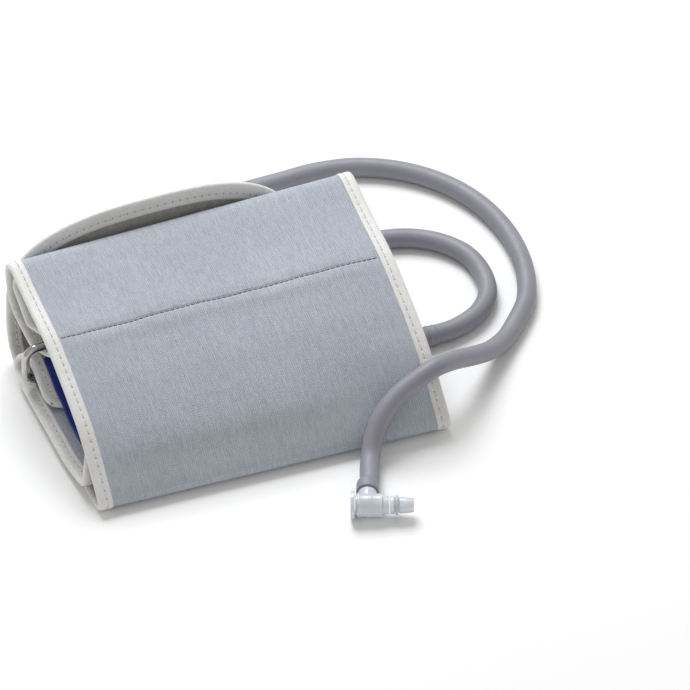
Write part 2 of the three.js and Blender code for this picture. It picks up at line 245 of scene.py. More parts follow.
def lathe(name, profile, matrix, sides=48):
    """A solid turned about local +X from (x, radius) points in millimetres that start and end on the axis."""
    inner = [p for p in profile if p[1] > 1e-6]
    angles = np.linspace(0, 2 * math.pi, sides, endpoint=False)
    rings = [[(x, r * math.cos(t), r * math.sin(t)) for t in angles] for x, r in inner]
    obj = sweep(name, np.array(rings) * MM)
    obj.data.transform(matrix)
    return obj


def rounded(profile, radius, steps=4):
    """The same (x, r) profile with its corners rounded."""
    out = [profile[0]]
    for a, b, c in zip(profile, profile[1:], profile[2:]):
        a, b, c = Vector(a), Vector(b), Vector(c)
        cut = min(radius, (a - b).length / 2, (c - b).length / 2)
        first, last = b + (a - b).normalized() * cut, b + (c - b).normalized() * cut
        for k in range(steps + 1):
            t = k / steps
            out.append(tuple((1 - t) ** 2 * first + 2 * t * (1 - t) * b + t * t * last))
    return out + [profile[-1]]


# ---------------------------------------------------------------- materials
class Look:
    """A principled material and the nodes that feed it."""

    def __init__(self, name):
        self.material = bpy.data.materials.new(name)
        self.material.use_nodes = True
        self.nodes, self.links = self.material.node_tree.nodes, self.material.node_tree.links
        self.inputs = self.nodes["Principled BSDF"].inputs

    def set(self, name, value):
        """Gives one of the shader's inputs a number, a colour or another node's output."""
        if isinstance(value, bpy.types.NodeSocket):
            self.links.new(value, self.inputs[name])
        else:
            self.inputs[name].default_value = (*value, 1) if isinstance(value, tuple) else value

    def noise(self, vector, scale, detail=2.0, roughness=0.5):
        node = self.nodes.new("ShaderNodeTexNoise")
        node.inputs["Scale"].default_value = scale
        node.inputs["Detail"].default_value = detail
        node.inputs["Roughness"].default_value = roughness
        self.links.new(vector, node.inputs["Vector"])
        return node.outputs["Fac"]

    def stretched(self, source, scale):
        node = self.nodes.new("ShaderNodeMapping")
        node.inputs["Scale"].default_value = scale
        self.links.new(source, node.inputs["Vector"])
        return node.outputs["Vector"]

    def ramp(self, fac, stops):
        node = self.nodes.new("ShaderNodeValToRGB")
        while len(node.color_ramp.elements) < len(stops):
            node.color_ramp.elements.new(0.5)
        for element, (at, colour) in zip(node.color_ramp.elements, stops):
            element.position, element.color = at, (*colour, 1)
        self.links.new(fac, node.inputs["Fac"])
        return node.outputs["Color"]

    def mix(self, kind, fac, a, b):
        node = self.nodes.new("ShaderNodeMix")
        node.data_type, node.blend_type = "RGBA", kind
        if isinstance(fac, (int, float)):
            node.inputs["Factor"].default_value = fac
        else:
            self.links.new(fac, node.inputs["Factor"])
        for socket, value in (("A", a), ("B", b)):
            target = [s for s in node.inputs if s.name == socket and s.type == "RGBA"][0]
            if isinstance(value, tuple):
                target.default_value = (*value, 1)
            else:
                self.links.new(value, target)
        return [s for s in node.outputs if s.type == "RGBA"][0]

    def math(self, kind, a, b):
        node = self.nodes.new("ShaderNodeMath")
        node.operation = kind
        for socket, value in zip(node.inputs, (a, b)):
            if isinstance(value, (int, float)):
                socket.default_value = value
            else:
                self.links.new(value, socket)
        return node.outputs[0]

    def bump(self, height, strength, distance):
        node = self.nodes.new("ShaderNodeBump")
        node.inputs["Strength"].default_value = strength
        node.inputs["Distance"].default_value = distance
        self.links.new(height, node.inputs["Height"])
        self.links.new(node.outputs["Normal"], self.inputs["Normal"])

    def flat(self):
        """The strip's own flat coordinates: u across in metres, v along in metres."""
        node = self.nodes.new("ShaderNodeUVMap")
        node.uv_map = "flat"
        return node.outputs["UV"]

    def parts(self, vector):
        """The x and the y of a vector."""
        node = self.nodes.new("ShaderNodeSeparateXYZ")
        self.links.new(vector, node.inputs["Vector"])
        return node.outputs["X"], node.outputs["Y"]

    def object_place(self):
        return self.nodes.new("ShaderNodeTexCoord").outputs["Object"]

    def object_noise(self, scale, detail=3.0):
        return self.noise(self.object_place(), scale, detail, 0.55)


def plain(name, colour, roughness):
    look = Look(name)
    look.set("Base Color", colour)
    look.set("Roughness", roughness)
    return look.material


def woven_material():
    """Blue-grey plain weave with thicker slubs that run along the strip."""
    look = Look("woven_cloth")
    uv = look.flat()
    warp = look.noise(look.stretched(uv, (1400, 250, 1)), 1, 2, 0.5)
    weft = look.noise(look.stretched(uv, (460, 1450, 1)), 1, 2, 0.5)
    slub = look.noise(look.stretched(uv, (560, 34, 1)), 1, 2, 0.55)
    cloud = look.noise(look.stretched(uv, (28, 18, 1)), 1, 3, 0.5)
    across, along = look.parts(uv)
    waves = []
    for place, pitch, stray in ((across, 0.88, warp), (along, 0.92, weft)):
        phase = look.math("MULTIPLY", place, 2 * math.pi / (pitch * MM))
        phase = look.math("ADD", phase, look.math("MULTIPLY", stray, 7))
        waves.append(look.math("SINE", phase, 0))
    grid = look.math("MULTIPLY", waves[0], waves[1])
    threads = look.math("ADD", look.math("MULTIPLY", warp, 0.45), look.math("MULTIPLY", weft, 0.25))
    threads = look.math("ADD", threads, look.math("MULTIPLY", grid, 0.24))
    threads = look.math("ADD", threads, look.math("MULTIPLY", waves[0], 0.08))
    base = look.ramp(threads, [(0.13, (0.312, 0.344, 0.405)), (0.35, (0.413, 0.446, 0.508)),
                               (0.57, (0.523, 0.553, 0.614))])
    tone = look.ramp(slub, [(0.3, (0.965, 0.965, 0.97)), (0.7, (1.035, 1.035, 1.03))])
    worn = look.ramp(cloud, [(0.3, (0.97, 0.97, 0.975)), (0.7, (1.03, 1.03, 1.025))])
    colour = look.mix("MULTIPLY", 1.0, base, tone)
    colour = look.mix("MULTIPLY", 1.0, colour, worn)
    look.set("Base Color", colour)
    look.set("Roughness", 0.82)
    look.set("Sheen Weight", 0.18)
    look.set("Sheen Roughness", 0.4)
    height = look.math("ADD", threads, look.math("MULTIPLY", slub, 0.35))
    look.bump(height, 0.8, 0.00025)
    return look.material


def pile_material(name="pile_cloth", low=(0.25, 0.24, 0.225), high=(0.43, 0.42, 0.40)):
    """Brushed loop pile: short fuzzy clumps in a warm grey."""
    look = Look(name)
    uv = look.flat()
    fuzz = look.noise(look.stretched(uv, (1500, 1100, 1)), 1, 4, 0.65)
    clump = look.noise(look.stretched(uv, (320, 210, 1)), 1, 3, 0.6)
    both = look.math("ADD", look.math("MULTIPLY", fuzz, 0.6), look.math("MULTIPLY", clump, 0.4))
    colour = look.ramp(both, [(0.36, low), (0.64, high)])
    look.set("Base Color", colour)
    look.set("Roughness", 0.95)
    look.set("Sheen Weight", 0.35)
    look.bump(both, 0.9, 0.0004)
    return look.material


def tape_material():
    """Off-white binding tape: a tight cross rib, painted shade in the needle holes between its stitches, and
    a soft soiling.
    """
    look = Look("binding_tape")
    uv = look.flat()
    rib = look.noise(look.stretched(uv, (2600, 500, 1)), 1, 2, 0.5)
    grime = look.noise(look.stretched(uv, (70, 45, 1)), 1, 3, 0.55)
    base = look.ramp(rib, [(0.3, (0.69, 0.69, 0.68)), (0.7, (0.81, 0.81, 0.80))])
    tone = look.ramp(grime, [(0.32, (0.94, 0.93, 0.91)), (0.6, (1.0, 1.0, 1.0))])
    colour = look.mix("MULTIPLY", 1.0, base, tone)
    across, along = look.parts(uv)
    turn = look.math("FRACT", look.math("DIVIDE", along, STITCH * MM), 0)
    along = look.math("MULTIPLY", look.math("SUBTRACT", turn, (1 + STITCH_SHARE) / 2), STITCH)
    across = look.math("SUBTRACT", look.math("MULTIPLY", across, 1 / MM), STITCH_LINE)
    away = look.math("ADD", look.math("MULTIPLY", along, along), look.math("MULTIPLY", across, across))
    # painted shade: near-black dots between the stitches where shade falls in the needle holes; the same mask
    # also sinks the bump
    needle_hole_shade = look.ramp(away, [(0.04, (1, 1, 1)), (0.2, (0, 0, 0))])
    colour = look.mix("MIX", look.math("MULTIPLY", needle_hole_shade, 0.6), colour, (0.16, 0.155, 0.15))
    look.set("Base Color", colour)
    look.set("Roughness", 0.55)
    look.set("Sheen Weight", 0.1)
    look.bump(look.math("SUBTRACT", rib, needle_hole_shade), 0.4, 0.0001)
    return look.material


def thread_material(name, low, high):
    """Twisted sewing thread."""
    look = Look(name)
    twist = look.object_noise(2600, 2)
    look.set("Base Color", look.ramp(twist, [(0.35, low), (0.65, high)]))
    look.set("Roughness", 0.6)
    look.bump(twist, 0.5, 0.00008)
    return look.material


def metal_material():
    """Nickel-plated wire with fine drawn scratches."""
    look = Look("nickel_wire")
    along = look.stretched(look.object_place(), (90, 1500, 1500))
    scratch = look.noise(along, 1, 3, 0.6)
    dull = look.object_noise(160)
    look.set("Base Color", look.ramp(dull, [(0.3, (0.42, 0.41, 0.385)), (0.7, (0.60, 0.585, 0.555))]))
    look.set("Roughness", look.ramp(scratch, [(0.3, (0.12,) * 3), (0.7, (0.26,) * 3)]))
    look.set("Metallic", 1.0)
    look.bump(scratch, 0.12, 0.00005)
    return look.material


def rubber_material(name, low, high, roughness=0.55):
    """Matt rubber or film with a fine grain and a soft change of tone."""
    look = Look(name)
    grain = look.object_noise(900)
    soft = look.object_noise(60)
    base = look.ramp(soft, [(0.3, low), (0.7, high)])
    look.set("Base Color", base)
    look.set("Roughness", look.ramp(grain, [(0.3, (roughness - 0.07,) * 3), (0.7, (roughness + 0.1,) * 3)]))
    look.bump(grain, 0.15, 0.00006)
    return look.material


def clear_material():
    """Pale translucent moulded plastic."""
    look = Look("clear_plastic")
    haze = look.object_noise(220)
    look.set("Base Color", look.ramp(haze, [(0.3, (0.80, 0.85, 0.92)), (0.7, (0.90, 0.93, 0.97))]))
    look.set("Roughness", look.ramp(haze, [(0.3, (0.16,) * 3), (0.7, (0.26,) * 3)]))
    look.set("Transmission Weight", 0.35)
    look.set("IOR", 1.49)
    look.bump(haze, 0.05, 0.0001)
    return look.material


def label_material():
    """Satin woven label in dark blue."""
    look = Look("blue_label")
    uv = look.flat()
    rib = look.noise(look.stretched(uv, (2400, 700, 1)), 1, 2, 0.5)
    look.set("Base Color", look.ramp(rib, [(0.3, (0.010, 0.018, 0.20)), (0.7, (0.022, 0.04, 0.34))]))
    look.set("Roughness", 0.42)
    look.bump(rib, 0.3, 0.00006)
    return look.material


MATERIALS = {
    "woven": woven_material(),
    "pile": pile_material(),
    "hook": pile_material("hook_tape", (0.36, 0.36, 0.37), (0.55, 0.55, 0.56)),
    "tape": tape_material(),
    "thread": thread_material("white_thread", (0.62, 0.61, 0.58), (0.82, 0.81, 0.78)),
    "seam": thread_material("grey_thread", (0.14, 0.15, 0.175), (0.23, 0.245, 0.275)),
    "metal": metal_material(),
    "film": rubber_material("bladder_film", (0.34, 0.37, 0.41), (0.42, 0.45, 0.49), 0.4),
    "hose": rubber_material("grey_rubber", (0.252, 0.25, 0.292), (0.286, 0.284, 0.328), 0.5),
    "seal": rubber_material("soft_silicone", (0.45, 0.5, 0.56), (0.55, 0.6, 0.65), 0.4),
    "clear": clear_material(),
    "label": label_material(),
}


# ---------------------------------------------------------------- the strip's surface
def tongue_height(x, inset=0.0):
    """How far the tongue reaches past the peel line at x."""
    t = np.clip(np.abs((x - TONGUE_CENTRE) / (TONGUE_HALF - inset)), 0, 1)
    return TONGUE_LOW + (TONGUE_TOP - TONGUE_LOW - inset) * (1 - t ** TONGUE_POWER) ** (1 / TONGUE_POWER)


def wander(x):
    """How far the cross seam strays from a straight line at x."""
    return 0.16 * np.sin(x / 9.0) + 0.1 * np.sin(x / 3.1 + 1)


class Strip:
    """Maps the strip's flat coordinates, x across and s along, and a height d, to the folded strip."""

    def __init__(self):
        top = TONGUE_TOP + 4
        tongue = [(HINGE[0] + k * math.sin(TONGUE_LEAN), HINGE[1] + k * math.cos(TONGUE_LEAN))
                  for k in (4, 12, 24, top)]
        self.path = catmull_rom(STRIP + tongue, 0.5)
        steps = np.linalg.norm(np.diff(self.path, axis=0), axis=1)
        self.s = np.concatenate([[0], np.cumsum(steps)])
        tangent = np.gradient(self.path, axis=0)
        self.tangent = tangent / np.linalg.norm(tangent, axis=1)[:, None]
        self.hinge = self.nearest(*HINGE)
        self.split = self.nearest(78, 1.3)  # in the bottom run, where the closure's own pieces start
        self.front_top = self.nearest(89, 48.2)
        self.front_foot = self.nearest(4.5, 9.5)
        self.seam = self.nearest(54.3, 41.3)  # the cross seam of the front face
        # The flare's top, its widest place at the cuff's nose, and its end in the bottom run
        self.flare_at = self.nearest(90.9, 48.3), self.nearest(1.1, 4.4), self.nearest(60, 1.3)
        self.shift_at = [self.nearest(y, z) for y, z, _, _ in SHIFTS]

    def nearest(self, y, z):
        return float(self.s[np.argmin(np.hypot(self.path[:, 0] - y, self.path[:, 1] - z))])

    def swell(self, x, s):
        """Swelling of the front face: low waves, a groove and puckers at the cross seam, a fuller
        middle, and the roll above its foot that fades out under the hose."""
        length = self.front_foot - self.front_top
        t = np.clip((s - self.front_top) / length, 0, 1)
        across = np.clip(1 - (np.abs(x) / 66) ** 6, 0, 1)
        on_front = np.clip(np.minimum(t, 1 - t) * 9, 0, 1)
        from_seam = s - self.seam - wander(x)
        below = from_seam > 0
        groove = -0.4 * np.exp(-(from_seam / 0.55) ** 2)
        beside = np.where(below, 0.55, 0.18) * np.exp(-((np.abs(from_seam) - 3.4) / 2.8) ** 2)
        near_seam = np.exp(-((np.abs(from_seam) - 1.5) / 1.6) ** 2)
        pucker = 0.1 * np.sin(x / 1.7 + 0.6 * np.sin(x / 11)) * near_seam
        full = 0.5 * np.exp(-((from_seam - 20) / 13) ** 2)
        off_hose = np.clip((34 - x) / 18, 0, 1)
        curl = 1.1 * off_hose * np.exp(-((s - self.front_foot + 13) / 9) ** 2)
        wave = 0.35 * np.sin(x / 15 + s / 31) * np.sin(s / 15 - x / 37) + 0.12 * np.sin(x / 6.1 - s / 9.7)
        return across * on_front * (groove + beside + pucker + full + curl + np.clip(wave, -0.25, 0.5))

    def flare(self, x, s):
        """How far forward of the path the outer wrap lies, which widens towards the hose end."""
        top, nose, end = self.flare_at
        share = np.where(s < nose, (s - top) / (nose - top), (end - s) / (end - nose))
        reach = FLARE_LEFT + (FLARE_RIGHT - FLARE_LEFT) * (x / (2 * HALF_WIDTH) + 0.5)
        return reach * np.maximum(share, 0)

    def sidle(self, x, s):
        """Sideways shift: the inner layers lie askew at the open end, and the ring gathers the strip."""
        left = np.interp(s, self.shift_at, [shift for _, _, shift, _ in SHIFTS])
        right = np.interp(s, self.shift_at, [shift for _, _, _, shift in SHIFTS])
        place = x / (2 * HALF_WIDTH)
        return left * (0.5 - place) - right * (0.5 + place)

    def place(self, x, s, d):
        """Positions in the row frame, in metres, of arrays of flat points."""
        x, s, d = np.broadcast_arrays(np.asarray(x, float), np.asarray(s, float), np.asarray(d, float))
        d = d + self.swell(x, s)
        inside = np.clip(s, 0, self.s[-1])
        beyond = s - inside
        y = np.interp(inside, self.s, self.path[:, 0])
        z = np.interp(inside, self.s, self.path[:, 1])
        ty = np.interp(inside, self.s, self.tangent[:, 0])
        tz = np.interp(inside, self.s, self.tangent[:, 1])
        y = y + d * tz + beyond * ty - self.flare(x, s)
        x = x + self.sidle(x, s)
        z = z - d * ty + beyond * tz
        return np.stack([x * MM, (y - ORIGIN_Y) * MM, np.maximum(z - ORIGIN_Z, 0.02) * MM], axis=-1)


strip = Strip()


def grade(length, step):
    """Even shares from 0 to 1 that cut a length into steps of about the given size."""
    return np.linspace(0, 1, max(2, int(round(length / step)) + 1))


def flat_uv(obj, uvs):
    """Gives a mesh the strip's flat coordinates, in metres, one pair for each vertex."""
    layer = obj.data.uv_layers.new(name="flat")
    index = np.zeros(len(obj.data.loops), np.int32)
    obj.data.loops.foreach_get("vertex_index", index)
    layer.data.foreach_set("uv", (np.asarray(uvs)[index] * MM).ravel())


def slab(name, columns, rows_of, low, high):
    """A closed sheet between two heights on a grid: columns across, and rows_of(x) along each."""
    grid_x, grid_s = [], []
    for x in columns:
        rows = rows_of(x)
        grid_s.append(rows)
        grid_x.append(np.full(len(rows), x))
    grid_x, grid_s = np.array(grid_x), np.array(grid_s)
    across, along = grid_x.shape
    top = strip.place(grid_x, grid_s, high).reshape(-1, 3)
    bottom = strip.place(grid_x, grid_s, low).reshape(-1, 3)
    faces = []
    n = across * along
    for i in range(across - 1):
        for j in range(along - 1):
            a, b = i * along + j, (i + 1) * along + j
            faces.append((a, b, b + 1, a + 1))
            faces.append((n + a, n + a + 1, n + b + 1, n + b))
    rim = [i * along for i in range(across)] + [(across - 1) * along + j for j in range(1, along)]
    rim += [i * along + along - 1 for i in reversed(range(across - 1))] + list(range(along - 2, 0, -1))
    for a, b in zip(rim, rim[1:] + rim[:1]):
        faces.append((a, n + a, n + b, b))
    obj = mesh_object(name, np.vstack([top, bottom]), faces, True)
    face_out(obj)
    uv = np.stack([grid_x.ravel(), grid_s.ravel()], axis=1)
    flat_uv(obj, np.vstack([uv, uv]))
    return obj


def wrap_rows():
    """Rows along the part of the strip that stays put, closest together at the cross seam."""
    start = 2.2  # the cloth's own edge, under the binding at the tab's end
    rows = start + (strip.split - start) * grade(strip.split, 1.4)
    rows = np.sort(np.concatenate([rows, strip.seam + np.arange(-4, 4.2, 0.33)]))
    return lambda x: rows


def closure_rows():
    """Rows from the last of the bottom run, round the rear bend and up to the tongue's outline."""
    low = strip.split + (strip.hinge - strip.split) * grade(strip.hinge - strip.split, 1.2)

    def rows(x):
        fall = 0.33 * max(0.0, x - SHOULDER)
        top = max(0.15, tongue_height(x, CLOTH_INSET) - fall)
        return np.concatenate([low, strip.hinge + top * np.linspace(0, 1, 36)[1:]])

    return rows


def cross_peel(obj):
    """Bakes the placement of a moving piece of the strip into its mesh."""
    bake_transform(obj)


def settle(obj, moves, look, replaced=()):
    """Finishes a piece of the strip, which stays with the root or, if it moves, has its placement baked into
    its mesh.
    """
    obj.data.materials.append(MATERIALS[look])
    if moves:
        cross_peel(obj)
    else:
        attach(obj, "root")
    if replaced:
        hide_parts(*replaced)


def cloth():
    """The woven and the pile face, each in a wrap piece that stays with the root and a closure piece."""
    half = HALF_WIDTH - CLOTH_INSET
    columns = np.linspace(-half, half, 100)
    for look, slot, low, high, nodes in (
        ("woven", "woven_fabric", CLOTH_IN, CLOTH_OUT, ("woven_face", "tongue_woven_face")),
        ("pile", "pile_fabric", -CLOTH_OUT, -CLOTH_IN, ("pile_face", "tongue_pile_face")),
    ):
        wrap = slab(look + "_cloth", columns, wrap_rows(), low, high)
        settle(wrap, False, look, nodes[:1])
        closure = slab(look + "_closure", columns, closure_rows(), low, high)
        settle(closure, True, look, nodes[1:])


# ---------------------------------------------------------------- binding tape and its stitches
def outline(step):
    """The strip's edge as closed (x, s) points with rounded corners, and an inward vector at each.

    The vectors are longer on the tongue, where the tape shows broader.
    """
    corner = 7.0
    arc = [(-HALF_WIDTH + corner - corner * math.sin(a), corner - corner * math.cos(a))
           for a in np.linspace(0, math.pi / 2, 8)]
    left = arc + [(-HALF_WIDTH, s) for s in np.arange(12, strip.hinge, 10)] + [(-HALF_WIDTH, strip.hinge)]
    xs = TONGUE_CENTRE - TONGUE_HALF * np.cos(np.linspace(0, math.pi, 60))
    curve = [(x, strip.hinge + float(tongue_height(np.array(x)))) for x in xs[1:-1]]
    right = [(-x, s) for x, s in reversed(left)]
    points = np.array(left + curve + [(LOW_END, strip.hinge + TONGUE_LOW)] + right + [left[0]])
    at = np.concatenate([[0], np.cumsum(np.linalg.norm(np.diff(points, axis=0), axis=1))])
    even = np.linspace(0, at[-1], int(round(at[-1] / step)) + 1)[:-1]
    points = np.stack([np.interp(even, at, points[:, k]) for k in range(2)], axis=1)
    for _ in range(3):
        points = (np.roll(points, 1, 0) + 2 * points + np.roll(points, -1, 0)) / 4
    ahead = np.roll(points, -1, 0) - np.roll(points, 1, 0)
    ahead /= np.linalg.norm(ahead, axis=1)[:, None]
    inward = np.stack([ahead[:, 1], -ahead[:, 0]], axis=1)
    on_tongue = np.clip((points[:, 1] - strip.hinge) / 8, 0, 1)
    return points, inward * (1 + TONGUE_TAPE_EXTRA * on_tongue)[:, None]


def binding():
    """The folded tape all round the strip, as rings of (inward, height) points along its outline."""
    points, inward = outline(FLAT_STEP)
    across = [(TAPE_WIDTH, 0.98), (TAPE_WIDTH - 0.15, 1.16), (4.5, 1.28), (3.8, 1.2), (STITCH_LINE, 1.02),
              (2.2, 1.15), (1.2, 1.25), (0.4, 1.15), (-0.1, 0.85), (-0.35, 0.4)]
    outer = across + [(a, -d) for a, d in reversed(across)]
    inner = [(TAPE_WIDTH - 0.1, -0.99), (2, -0.98), (0.4, -0.5), (0.4, 0.5), (2, 0.98),
             (TAPE_WIDTH - 0.1, 0.99)]
    profile = np.array(outer + inner)
    x = points[:, None, 0] + profile[None, :, 0] * inward[:, None, 0]
    s = points[:, None, 1] + profile[None, :, 0] * inward[:, None, 1]
    wave = 0.06 * np.sin(np.arange(len(points)) * FLAT_STEP / STITCH * 2 * math.pi)
    d = profile[None, :, 1] * (1 + wave[:, None] * (np.abs(profile[None, :, 0] - STITCH_LINE) < 1.5))
    rings = strip.place(x, s, d)
    along = np.arange(len(points))[:, None] * FLAT_STEP
    uv = np.stack([np.broadcast_to(profile[:, 0], x.shape), np.broadcast_to(along, x.shape)], axis=-1)
    moving = np.flatnonzero(points[:, 1] > strip.split)
    first, last = moving[0], moving[-1]
    still = np.concatenate([np.arange(last, len(points)), np.arange(0, first + 1)])
    for name, moves, index, nodes in (
        ("binding_tape", False, still, ("binding_left", "binding_right")),
        ("closure_binding", True, np.arange(first, last + 1), ("tongue_binding",)),
    ):
        obj = sweep(name, rings[index])
        flat_uv(obj, uv[index].reshape(-1, 2))
        settle(obj, moves, "tape", nodes)


def stitches(name, starts, ends, height, radius, side, look, moves=False, replaced=()):
    """Threads from flat starts to flat ends, sunk in at both ends; side is 1 on the woven face."""
    along = [0.0, 0.12, 0.32, 0.68, 0.88, 1.0]
    rise = [-0.9, 0.1, 0.45, 0.45, 0.1, -0.9]
    sides = 6
    angles = np.linspace(0, 2 * math.pi, sides, endpoint=False)
    points, faces = [], []
    for a, b in zip(starts, ends):
        a, b = np.array(a, float), np.array(b, float)
        ahead = (b - a) / np.linalg.norm(b - a)
        cross = np.array([ahead[1], -ahead[0]])
        first = len(points)
        for t, up in zip(along, rise):
            middle = a + (b - a) * t
            for angle in angles:
                flat = middle + cross * radius * math.cos(angle)
                lift = height + radius * (up + math.sin(angle))
                points.append((flat[0], flat[1], side * lift))
        for i in range(len(along) - 1):
            here = first + i * sides
            for k in range(sides):
                m = (k + 1) % sides
                faces.append((here + k, here + m, here + sides + m, here + sides + k))
        faces.append(tuple(first + k for k in range(sides)))
        faces.append(tuple(first + (len(along) - 1) * sides + k for k in reversed(range(sides))))
    points = np.array(points)
    obj = mesh_object(name, strip.place(points[:, 0], points[:, 1], points[:, 2]), faces, True)
    face_out(obj)
    settle(obj, moves, look, replaced)


def binding_stitches():
    """The running stitch that holds the tape, on both of its faces."""
    points, inward = outline(STITCH)
    line = points + STITCH_LINE * inward
    ahead = np.roll(line, -1, 0) - line
    ends = line + STITCH_SHARE * ahead
    moving = line[:, 1] > strip.split
    threads = ("binding_thread_left", "binding_thread_right")
    for side, face in ((1, "woven"), (-1, "pile")):
        for moves, which, place in ((False, ~moving, "wrap"), (True, moving, "closure")):
            name = f"{place}_stitches_{face}_side"
            replaced = threads if side == 1 and not moves else ()
            stitches(name, line[which], ends[which], 1.06, THREAD_RADIUS, side, "thread", moves, replaced)


def seam_stitches():
    """The cross seam of the front face."""
    pitch, length = 2.1, 1.75
    xs = np.arange(-64, 64, pitch)
    starts = [(x, strip.seam + wander(x)) for x in xs]
    ends = [(x + length, strip.seam + wander(x + length)) for x in xs]
    stitches("front_seam_stitches", starts, ends, CLOTH_OUT + 0.15, SEAM_THREAD_RADIUS, 1, "seam",
             replaced=("front_seam_thread",))


def tab_stitches():
    """Two rows across the tab's end, which face up where the tab is folded back over the ring."""
    pitch, length = 3.0, 2.0
    starts = [(x, at) for at in (6.4, 9.6) for x in np.arange(-63, 63, pitch)]
    ends = [(x + length, at) for x, at in starts]
    stitches("tab_stitches", starts, ends, CLOTH_OUT, THREAD_RADIUS, -1, "thread",
             replaced=("tab_thread",))


# ---------------------------------------------------------------- bladder, label and hook patch
def bladder():
    """The two flat films inside the strip, as one empty ribbon."""
    start, end = strip.nearest(58, 4.4), strip.nearest(78, 33.6)
    half_width, half_thickness = 60, 0.24
    obj = slab("bladder_films", np.linspace(-half_width, half_width, 30),
               lambda x: np.linspace(start, end, 120), -half_thickness, half_thickness)
    finish_piece(obj, MATERIALS["film"], "root", ("bladder",))


def label():
    """The blank blue label, draped over the tab and the cloth in front of it."""
    path = catmull_rom([(72.5, 15.9), (68, 15.4), (63, 13.2), (58, 10.9), (52, 9.6), (46, 7.6),
                        (40, 6.4), (30, 6.0)], LABEL_STEP)
    rings = []
    count = len(path)
    for x in np.linspace(LABEL_LEFT, LABEL_RIGHT, 64):
        trim = max(0.0, LABEL_CORNER - (x - LABEL_LEFT)) + max(0.0, LABEL_CORNER + (x - LABEL_RIGHT))
        cut = LABEL_CORNER - math.sqrt(max(0.0, LABEL_CORNER ** 2 - trim ** 2))
        t = np.linspace(cut / LABEL_STEP, count - 1 - cut / LABEL_STEP, count)
        y, z = np.interp(t, range(count), path[:, 0]), np.interp(t, range(count), path[:, 1])
        upper = np.stack([np.full(count, x), y - ORIGIN_Y, z - ORIGIN_Z], axis=1) * MM
        lower = upper - np.array([0, 0, LABEL_THICK * MM])
        rings.append(np.vstack([upper, lower[::-1]]))
    obj = sweep("range_label", np.array(rings))
    co = np.array([v.co for v in obj.data.vertices]) / MM
    flat_uv(obj, np.stack([co[:, 0], co[:, 1]], axis=1))
    finish_piece(obj, MATERIALS["label"], "root", ("range_label",))


def hook_patch():
    """The strip of hook tape on the tongue's pile face."""
    start = strip.hinge + 5
    length = 10
    obj = slab("hook_patch_tape", np.linspace(-52, 34, 40),
               lambda x: np.linspace(start, start + length, 12), -1.75, -1.0)
    finish_piece(obj, MATERIALS["hook"], "tongue", ("hook_patch",))


# ---------------------------------------------------------------- ring
def ring():
    """The ring's wire, bent to a long rounded rectangle, with a butt weld on its lower run."""
    half, corner, low = RING_STRAIGHT / 2, RING_CORNER, RING_LOW
    high = low + RING_SPAN
    centre = [(x, low) for x in np.linspace(-half, half, 120)[:-1]]
    centre += [(half + corner * math.sin(a), low + corner - corner * math.cos(a))
               for a in np.linspace(0, math.pi / 2, 16)[:-1]]
    centre += [(half + corner, z) for z in np.linspace(low + corner, high - corner, 8)[:-1]]
    centre += [(half + corner * math.cos(a), high - corner + corner * math.sin(a))
               for a in np.linspace(0, math.pi / 2, 16)[:-1]]
    centre += [(-x, 2 * low + RING_SPAN - z) for x, z in centre]
    centre = np.array(centre)
    ahead = np.roll(centre, -1, 0) - np.roll(centre, 1, 0)
    ahead /= np.linalg.norm(ahead, axis=1)[:, None]
    out = np.stack([ahead[:, 1], -ahead[:, 0]], axis=1)
    angles = np.linspace(0, 2 * math.pi, 20, endpoint=False)
    weld = RING_WIRE + 0.12 * np.exp(-((centre[:, 0] - 20) / 0.8) ** 2) * (centre[:, 1] < low + 1)
    x = centre[:, None, 0] + weld[:, None] * np.cos(angles) * out[:, None, 0]
    z = centre[:, None, 1] + weld[:, None] * np.cos(angles) * out[:, None, 1]
    y = RING_Y + weld[:, None] * np.sin(angles) + np.zeros_like(x)
    rings = np.stack([x, y - ORIGIN_Y, z - ORIGIN_Z], axis=-1) * MM
    obj = sweep("ring_wire", rings, closed_path=True)
    finish_piece(obj, MATERIALS["metal"], "ring", ("d_ring",))


# ---------------------------------------------------------------- hose, boot and plug
def hose_route():
    """The whole free hose: out of the boot, back and forth in one flat hank, and on to the plug."""
    run = EXIT_ROUTE[-1][1]
    middle, radius, z = run + HANK_FOLD / 2, HANK_FOLD / 2, HOSE_R
    lane = [(x, run, z) for x in (45, 25, 5, -12)]
    fold = [(FOLD_CENTRE_X - radius * math.sin(a), middle - radius * math.cos(a), z)
            for a in np.linspace(0, math.pi, 9)]
    back = [(x, run + HANK_FOLD, z) for x in (-12, 5, 25, 45)]
    return EXIT_ROUTE + lane + fold + back + FRONT_ROUTE


def plug_matrix():
    """Where the elbow's own frame lies in the row frame."""
    return Matrix.Translation(row(*PLUG_AT)) @ Matrix.Rotation(PLUG_TURN, 4, "Z")


def hose():
    """The air hose as a cord, with the boot, the sleeve and the plug's pieces on it."""
    points = catmull_rom([tuple(row(*p)) for p in hose_route()], 0.0025)
    curve = bpy.data.curves.new("air_hose", "CURVE")
    curve.dimensions = "3D"
    curve.bevel_depth = HOSE_R * MM
    curve.bevel_resolution = 7
    curve.use_fill_caps = True
    spline = curve.splines.new("POLY")
    spline.points.add(len(points) - 1)
    spline.points.foreach_set("co", np.column_stack([points, np.ones(len(points))]).ravel())
    spline.use_smooth = True
    obj = bpy.data.objects.new("air_hose", curve)
    bpy.context.collection.objects.link(obj)
    finish_piece(obj, MATERIALS["hose"], "root",
                 ("hose_exit_run", "hose_hank", "hose_front_run"))
    hose_boot()
    hose_sleeve()
    plug()


